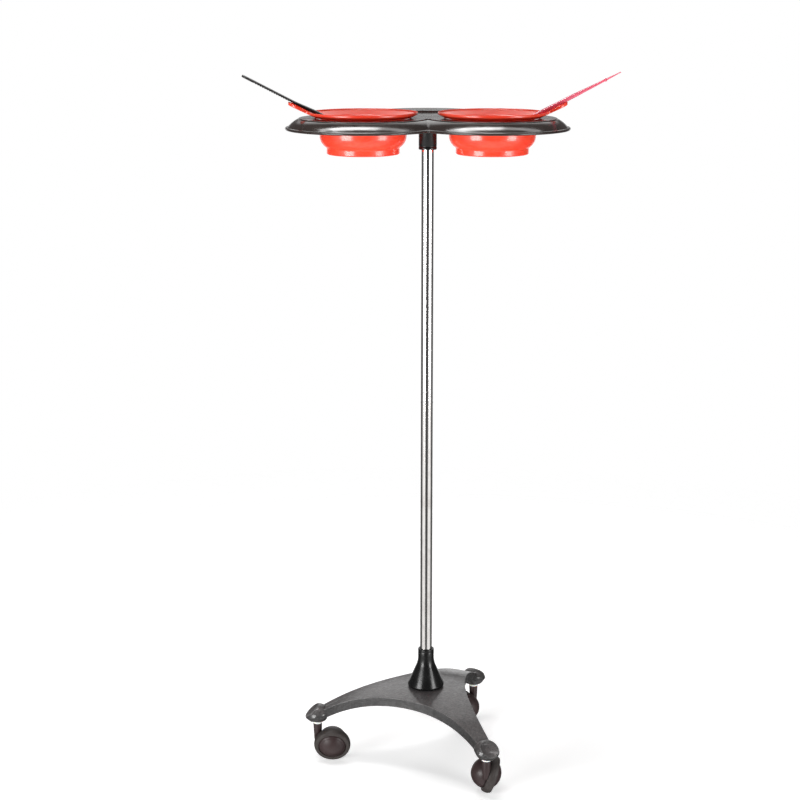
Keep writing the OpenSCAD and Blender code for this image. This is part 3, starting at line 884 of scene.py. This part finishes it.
def pink_handle():
    """A tapered bar with a ribbed grip, a small bead and a thin round tail."""
    stop, tip = 191.7, 213.8  # the bead and the tail's end
    neck, grip, grip_end = 60, 137.5, 157  # where the neck ends, and where the ribs begin and end
    stations = brush_head(5, 3.6, -3.2)
    for k in range(1, 14):
        t = k / 13
        stations.append((neck + 76 * t, blend(5, 3.6, t), blend(3.7, 3.0, t), blend(-3.2, -2.5, t)))
    x = grip
    while x < grip_end:
        t = (x - grip + 0.5) / 50
        top, bottom = blend(3.0, 1.6, t), blend(-2.5, -1.5, t)
        for dx, depth in ((0, 0), (0.3, 0.35), (0.7, 0.45), (1.5, 0.45), (1.9, 0.35), (2.2, 0)):
            stations.append((x + dx, 3.5, top, bottom + 0.45 - depth))
        x += 2.7
    taper = grip_end + 1
    for k in range(1, 7):
        t = k / 6
        stations.append((taper + (stop - 1.6 - taper) * t, 3.4 - 1.8 * t, 2.3 - 0.9 * t,
                         -1.95 + 0.6 * t))
    for dx, r in ((-1.1, 1.7), (-0.8, 2.1), (0.6, 2.25), (1.0, 2.0), (1.3, 1.3), (6, 1.15), (12, 0.9),
                  (18, 0.7), (tip - stop - 0.8, 0.55), (tip - stop - 0.2, 0.35)):
        stations.append((stop + dx, r, r, -r))
    return loft(stations, corner=0.9)


ROWS, TUFTS, PER_TUFT = 2, 15, 26
FILAMENT_R = 0.13


def bristles():
    """Tufts of tapered filaments, whose tips reach x = 0."""
    verts, faces = [], []
    for row in range(ROWS):
        for tuft in range(TUFTS):
            root_y = (tuft - (TUFTS - 1) / 2) * (2 * BRISTLE_HALF - 5) / (TUFTS - 1)
            root_z = (row - (ROWS - 1) / 2) * 2.1
            for _ in range(PER_TUFT):
                a, r = random.uniform(0, 2 * math.pi), 0.95 * math.sqrt(random.random())
                y0, z0 = root_y + r * math.cos(a), root_z + r * math.sin(a)
                y1 = y0 + r * 0.35 * math.cos(a) + random.gauss(0, 0.12)
                z1 = z0 * 0.55 + random.gauss(0, 0.16)
                reach = random.uniform(0.1, 1.3)
                start = len(verts)
                for t, thick in ((0, 1.0), (0.45, 1.0), (0.85, 0.8), (1, 0.35)):
                    x = BRISTLE_LEN + 1 + (reach - BRISTLE_LEN - 1) * t
                    y, z = y0 + (y1 - y0) * t * t, z0 + (z1 - z0) * t
                    for k in range(4):
                        b = math.pi / 2 * k
                        verts.append((x, y + FILAMENT_R * thick * math.cos(b),
                                      z + FILAMENT_R * thick * math.sin(b)))
                for s in range(3):
                    for k in range(4):
                        p, q = start + 4 * s + k, start + 4 * s + (k + 1) % 4
                        faces.append((p, q, q + 4, p + 4))
                faces += [(start + 3, start + 2, start + 1, start),
                          (start + 12, start + 13, start + 14, start + 15)]
    return solid(verts, faces)


BRUSHES = {"left": (black_handle(), "black_brush_plastic", "black_nylon"),
           "right": (pink_handle(), "pink_brush_plastic", "clear_nylon")}
for side, (handle, handle_slot, hair_slot) in BRUSHES.items():
    brush = side + "_brush"
    piece(brush + "_body", handle, AT_BRUSH[side], brush, handle_slot, [brush + "_handle"])
    piece(brush + "_hair", bristles(), AT_BRUSH[side], brush, hair_slot, [brush + "_bristles"])


# ---- base ----

STEM_REACH, LEG_TURN = 148.5, 181.5  # from pole to caster stem, and the left leg's direction
LEG_ARC_AT, LEG_ARC_R = 340, 286  # centre and radius of the plate's hollow edges
HUB_Z, PLATE_T = 106.5, 13
LEG_DROP, LEG_DROP_AT = 26, 131  # how far the plate's top falls at that distance
EDGE_R = 1.1  # rounding of the casting's edges
POLE_BORE_R, BOLT_HOLE_R = 8.1, 5.4
HEAD_TOP, WASHER_TOP = 87, 89  # heights of the bolt head's and the washer's upper face
COLLAR_FOOT, COLLAR_TOP = 52.9, 56  # heights of a caster's collar, between hood and cup


def plate_top(r):
    """Height of the plate's top at distance r from the pole."""
    return HUB_Z - LEG_DROP * (r / LEG_DROP_AT) ** 2.5


def plate_reach(a):
    """Distance from the pole to the plate's outline in direction a, in degrees from the left leg."""
    off = (a - 60) % 120
    off = (off + 60) % 120 - 60  # from the middle of the nearest hollow edge
    inside = LEG_ARC_R ** 2 - (LEG_ARC_AT * math.sin(off * DEG)) ** 2
    if inside <= 0:
        return STEM_REACH
    return min(STEM_REACH, LEG_ARC_AT * math.cos(off * DEG) - math.sqrt(inside))


def plate_angles():
    """Directions that give the outline evenly spaced points, with its corners among them."""
    fine = [i / 20 for i in range(7200)]
    points = [Vector(polar(plate_reach(a), a)) for a in fine]
    chosen, run, step = [fine[0]], 0.0, 2.2
    for i in range(1, len(fine)):
        run += (points[i] - points[i - 1]).length
        if run >= step and 360 - fine[i] > 0.2:
            chosen.append(fine[i])
            run = 0.0
    return chosen


def plate_shape():
    """The three-legged plate without its cups."""
    angles = plate_angles()
    hole_r = POLE_BORE_R

    def ring(share, inset, drop):
        points = []
        for a in angles:
            reach = plate_reach(a)
            r = hole_r + (reach - inset - hole_r) * share
            points.append((*polar(r, a), plate_top(r) - drop))
        return points

    shares = [0, 0.06, 0.14, 0.24, 0.34, 0.44, 0.54, 0.64, 0.74, 0.84, 0.93, 1]

    def rounding(a):
        """How far the rounded edge is set in and lowered at angle a."""
        return EDGE_R * (1 - math.sin(a * DEG)), EDGE_R * (1 - math.cos(a * DEG))

    lower = [(inset, PLATE_T - drop) for inset, drop in map(rounding, (90, 60, 30))]
    rings = [ring(s, EDGE_R, 0) for s in shares]
    rings += [ring(1, inset, drop) for inset, drop in [*map(rounding, (25, 50, 70, 90)), *lower]]
    rings += [ring(s, EDGE_R, PLATE_T) for s in reversed(shares)]
    return solid(*skin(rings, loop=True))


CUP_LEAN, CUP_LEAN_Z = 16, 66  # outward lean about this height on the stem's axis
CUP_BED, CUP_RIM = (13.5, 60.5), (17.3, 66.5)  # radius and height before it leans
CUP_DOME_H = 13.5
SCOOP_R, SCOOP_AT = 34.4, (28.6, 95.6)  # the ball that hollows a cup's outer side
STEM_TOP = 67


def cup_shape():
    """A caster's cup: a short upright foot, and a leaning dome that is hollow on its outer side."""
    sink = (CUP_RIM[0] ** 2 - CUP_DOME_H ** 2) / (2 * CUP_DOME_H)
    dome_r = CUP_DOME_H + sink
    edge = 0.7
    foot = revolve([(0, COLLAR_TOP), (7.5, COLLAR_TOP), (11.2, 57.95), (12.1, 58.6), (12.6, 59.4),
                    (14.4, 64.3), (0, 64.3)], 72)
    start = math.asin(sink / dome_r) / DEG
    dome = revolve([(0, CUP_BED[1]), CUP_BED]
                   + arc(CUP_RIM[0] - edge - 0.25, CUP_RIM[1] + 0.15, edge, -45, 18, 6)
                   + arc(0, CUP_RIM[1] - sink, dome_r - 0.05, start + 4, 88, 20)
                   + [(0, CUP_RIM[1] - sink + dome_r - 0.05)], 96)
    lean = shift(0, 0, CUP_LEAN_Z) @ turn(CUP_LEAN, "Y") @ shift(0, 0, -CUP_LEAN_Z)
    scoop = revolve([(0, -SCOOP_R)] + arc(0, 0, SCOOP_R, -88, 88, 90) + [(0, SCOOP_R)], 160)
    cup = combined(foot, moved(dome, lean), "UNION")
    return combined(cup, moved(scoop, shift(SCOOP_AT[0], 0, SCOOP_AT[1])), "DIFFERENCE")


def base_shape():
    """The casting: plate, bolt boss, three cups with their stem holes, and the pole's stepped bore."""
    boss = revolve([(0, WASHER_TOP), (19.2, WASHER_TOP), (20, WASHER_TOP + 0.8), (20, 99), (0, 99)])
    base = combined(plate_shape(), boss, "UNION")
    cup, stem_hole = cup_shape(), cylinder(4.2, 50, STEM_TOP, 48)
    for leg in range(3):
        place = turn(120 * leg, "Z") @ shift(STEM_REACH, 0, 0)
        base = combined(base, moved(cup, place), "UNION")
        base = combined(base, moved(stem_hole, place), "DIFFERENCE")
    bore = revolve([(0, 80), (BOLT_HOLE_R, 80), (BOLT_HOLE_R, 100.5), (POLE_BORE_R, 100.5),
                    (POLE_BORE_R, 120), (0, 120)], 64)
    return combined(base, bore, "DIFFERENCE")


piece("base_casting", base_shape(), AT_POLE @ turn(LEG_TURN, "Z"), "stand", "grey_hammer_enamel",
      ["base_plate"], weighted=True)


# ---- bell cover, socket, fasteners and collars ----

def bell_shape():
    """The bell: a neck with a fine groove, a flare and a rounded foot, hollow inside."""
    neck_r, top = 10.7, 160.5
    flare_r, flare_at = 33.3, 149  # radius of the flare's arc and height of its centre
    foot_r = 3.1
    neck = [(POLE_BORE_R, top - 0.4), (8.5, top), (9.9, top), (10.45, top - 0.25), (neck_r, top - 0.8),
            (neck_r + 0.02, top - 3.1), (neck_r - 0.12, top - 3.4), (neck_r - 0.12, top - 3.8),
            (neck_r + 0.02, top - 4.1)]
    inside = [(20.6, HUB_Z + 0.15), (20.4, HUB_Z + 2.5), (10, 134.8), (POLE_BORE_R, 139)]
    return revolve(neck + arc(neck_r + flare_r, flare_at, flare_r, 180, 203, 16)
                   + arc(21.4, HUB_Z + foot_r, foot_r, 23, -88, 14) + inside, 128, loop=True)


piece("bell_cover_shell", bell_shape(), AT_POLE, "stand", "black_plastic", ["bell_cover"])


SOCKET_TOP, FLANGE_T, FLANGE_R = 870, 3.6, 20


def socket_shape():
    """The pole's socket: a sleeve with a groove near its foot, and a flange under the tray."""
    top, foot, r, round_r = SOCKET_TOP, 836, 11.6, 0.9
    flange = top - FLANGE_T
    sleeve = ([(POLE_BORE_R, top - 6), (POLE_BORE_R, foot + 0.6), (POLE_BORE_R + 0.5, foot),
               (r - round_r, foot)] + arc(r - round_r, foot + round_r, round_r, -90, 0, 5))
    groove = [(r, foot + 3.4), (r - 0.25, foot + 3.8), (r - 0.25, foot + 4.4), (r, foot + 4.8)]
    return revolve(sleeve + groove
                   + [(r, flange - 1.6), (r + 0.4, flange - 0.6), (r + 1.4, flange),
                      (FLANGE_R - 0.6, flange), (FLANGE_R, flange + 0.6), (FLANGE_R, top - 0.3),
                      (FLANGE_R - 0.3, top), (0, top), (0, top - 6)], 96)


piece("pole_socket", socket_shape(), AT_POLE, "stand", "black_plastic", ["tray_socket"])


def screws_shape():
    """Three pan-head screws with cross recesses, head down."""
    seat, shank_r, ring_r = SOCKET_TOP - FLANGE_T, 1.4, 15.5
    head = [(0, seat - 2), (1.2, seat - 1.95), (2.1, seat - 1.7), (2.75, seat - 1.2), (2.9, seat - 0.6),
            (2.9, seat)]
    shank = [(shank_r, seat), (shank_r, seat + 6.5), (0, seat + 6.5)]
    verts, faces = [], []
    screw = revolve(head + shank, 32)
    for spin in (0, 90):
        bar = moved(rounded_block(-1.5, 1.5, 0.35, 0.7, 0.05), shift(0, 0, seat - 1.9) @ turn(spin, "Z"))
        screw = combined(screw, bar, "DIFFERENCE")
    for angle in (90, 210, 330):
        one = moved(screw, turn(angle, "Z") @ shift(ring_r, 0, 0))
        faces += [tuple(i + len(verts) for i in p.vertices) for p in one.polygons]
        verts += [tuple(v.co) for v in one.vertices]
    return solid(verts, faces)


piece("socket_screws", screws_shape(), AT_POLE, "stand", "zinc_steel", ["tray_screws"])


def bolt_shape():
    """A hexagon-head bolt, head down, with ridges for its thread."""
    foot, pitch, end = 80.6, 1.2, 123
    hexagon = cylinder(8.5, foot, HEAD_TOP, 6)
    chamfer = revolve([(0, foot), (6.9, foot), (8.6, foot + 0.95), (8.6, HEAD_TOP), (0, HEAD_TOP)], 72)
    head = combined(hexagon, chamfer, "INTERSECT")
    thread, z = [(0, HEAD_TOP - 1), (4.6, HEAD_TOP - 1)], float(HEAD_TOP)
    while z < end:
        thread += [(4.45, z), (4.9, z + pitch / 2)]
        z += pitch
    return combined(head, revolve(thread + [(4.3, z + 0.5), (0, z + 0.5)], 48), "UNION")


piece("pole_bolt", bolt_shape(), AT_POLE, "stand", "zinc_steel", ["base_bolt"])
WASHER = [(BOLT_HOLE_R, HEAD_TOP + 0.3), (5.7, HEAD_TOP), (10.6, HEAD_TOP), (11, HEAD_TOP + 0.4),
          (11, WASHER_TOP - 0.3), (10.7, WASHER_TOP), (BOLT_HOLE_R, WASHER_TOP)]
piece("bolt_washer", revolve(WASHER, 72, loop=True), AT_POLE, "stand", "zinc_steel", ["base_washer"])


# ---- casters ----

AXLE_Z = 24.364  # height of the wheel's centre
TREAD_R, TREAD_HALF, CROWN_R, CORE_R = 25, 5.7, 12, 19
BALL_R, BALL_AT = 20.5, -5.9  # the hood's ball, and its centre along the axle
HOOD_FACE = 6.2  # from the wheel's middle to the hood's flat face
DOME_R, DOME_RISE = 18.6, 14.2


def hood_shape():
    """Half ball with its rounded rim, and the stem's housing, about the stem's axis."""
    in_wheel = shift(TRAIL, -SIDE_STEP, AXLE_Z) @ turn(90 + WHEEL_LEAN, "X")
    rim_r = math.sqrt(BALL_R ** 2 - (HOOD_FACE + BALL_AT) ** 2)
    low = math.asin((-HOOD_FACE - 0.7 - BALL_AT) / BALL_R) / DEG
    section = ([(0, -HOOD_FACE), (rim_r - 0.9, -HOOD_FACE), (rim_r - 0.3, -HOOD_FACE - 0.15)]
               + arc(0, BALL_AT, BALL_R, low, -89, 26) + [(0, BALL_AT - BALL_R)])
    ball = revolve(section, 96)
    housing = revolve([(0, 27), (3.4, 27), (4.5, 28), (5.0, 31), (6.05, 52.2), (5.9, 52.7),
                       (5.5, COLLAR_FOOT), (0, COLLAR_FOOT)], 64)
    room = moved(cylinder(TREAD_R + 0.7, -HOOD_FACE, 60), in_wheel)
    hood = combined(combined(housing, room, "DIFFERENCE"), moved(ball, in_wheel), "UNION")
    return combined(hood, cylinder(4.05, 40, 60, 48), "DIFFERENCE")


def tread_shape():
    """The tread: a crowned ring with a moulding seam round its middle."""
    crown = math.asin(TREAD_HALF / CROWN_R) / DEG
    c = TREAD_R - CROWN_R
    seam = [(TREAD_R - 0.02, -0.25), (TREAD_R - 0.12, -0.12), (TREAD_R - 0.12, 0.12),
            (TREAD_R - 0.02, 0.25)]
    outer = (arc(c, 0, CROWN_R, 2.2 - crown, -1.4, 9) + seam
             + arc(c, 0, CROWN_R, 1.4, crown - 2.2, 9))
    edge_r = c + CROWN_R * math.cos(crown * DEG)
    upper = [(edge_r - 0.2, TREAD_HALF - 0.12), (edge_r - 0.7, TREAD_HALF), (CORE_R, TREAD_HALF)]
    lower = [(r, -z) for r, z in reversed(upper)]
    return revolve(lower + outer + upper, 128, loop=True)


def dome_shape():
    """Domed cap: a flat-rimmed seat, a groove round it, and the crown."""
    base = TREAD_HALF - 1.4
    rise = DOME_RISE - base
    cap_r = (DOME_R ** 2 + rise ** 2) / (2 * rise)
    centre = DOME_RISE - cap_r
    crown_r = 15.4
    start = math.acos(crown_r / cap_r) / DEG
    section = [(0, base), (DOME_R, base), (DOME_R, base + 1.2), (DOME_R - 0.25, base + 1.7)]
    for r, sunk in ((17.9, 0.05), (17.2, 0.05), (16.6, 0.05), (16.2, 0.3), (15.9, 0.35), (15.6, 0.15)):
        section.append((r, centre + math.sqrt(cap_r ** 2 - r ** 2) - sunk))
    section += arc(0, centre, cap_r, start, 89, 22) + [(0, DOME_RISE)]
    return revolve(section, 96)


COLLAR = [(4, COLLAR_FOOT), (5.6, COLLAR_FOOT), (6, 53.2), (6, 54.1), (5.8, 54.35), (5.8, 54.6),
          (6, 54.85), (6, 55.7), (5.7, COLLAR_TOP), (4, COLLAR_TOP)]
CASTER_PIECES = (
    ("hood_shell", hood_shape(), AT_STEM, "{}_caster", "hood_plastic", "{}_hood"),
    ("tread_ring", tread_shape(), AT_WHEEL, "{}_roller", "tread_rubber", "{}_tread"),
    ("dome_cap", dome_shape(), AT_WHEEL, "{}_roller", "hood_plastic", "{}_dome"),
    ("stem_collar", revolve(COLLAR, 64, loop=True), AT_STEM, "stand", "collar_nylon", "{}_collar"),
)
for corner in AT_STEM:
    for name, mesh, places, body, slot, node in CASTER_PIECES:
        piece(corner + "_" + name, mesh, places[corner], body.format(corner), slot,
              [node.format(corner)])


# ---- CAD nodes that are shown as they are ----

KEPT = {"lower_tube": "satin_tube", "upper_tube": "chrome_tube", "tube_joiner": "chrome_tube",
        "joiner_insert": "zinc_steel", "foot_insert": "zinc_steel"}
for corner in AT_STEM:
    KEPT[corner + "_stem"] = KEPT[corner + "_axle"] = "zinc_steel"
    KEPT[corner + "_wheel"] = "hood_plastic"
for node, slot in KEPT.items():
    obj = frame["nodes"][node]
    obj.data.materials.clear()
    obj.data.materials.append(MATERIALS[slot])
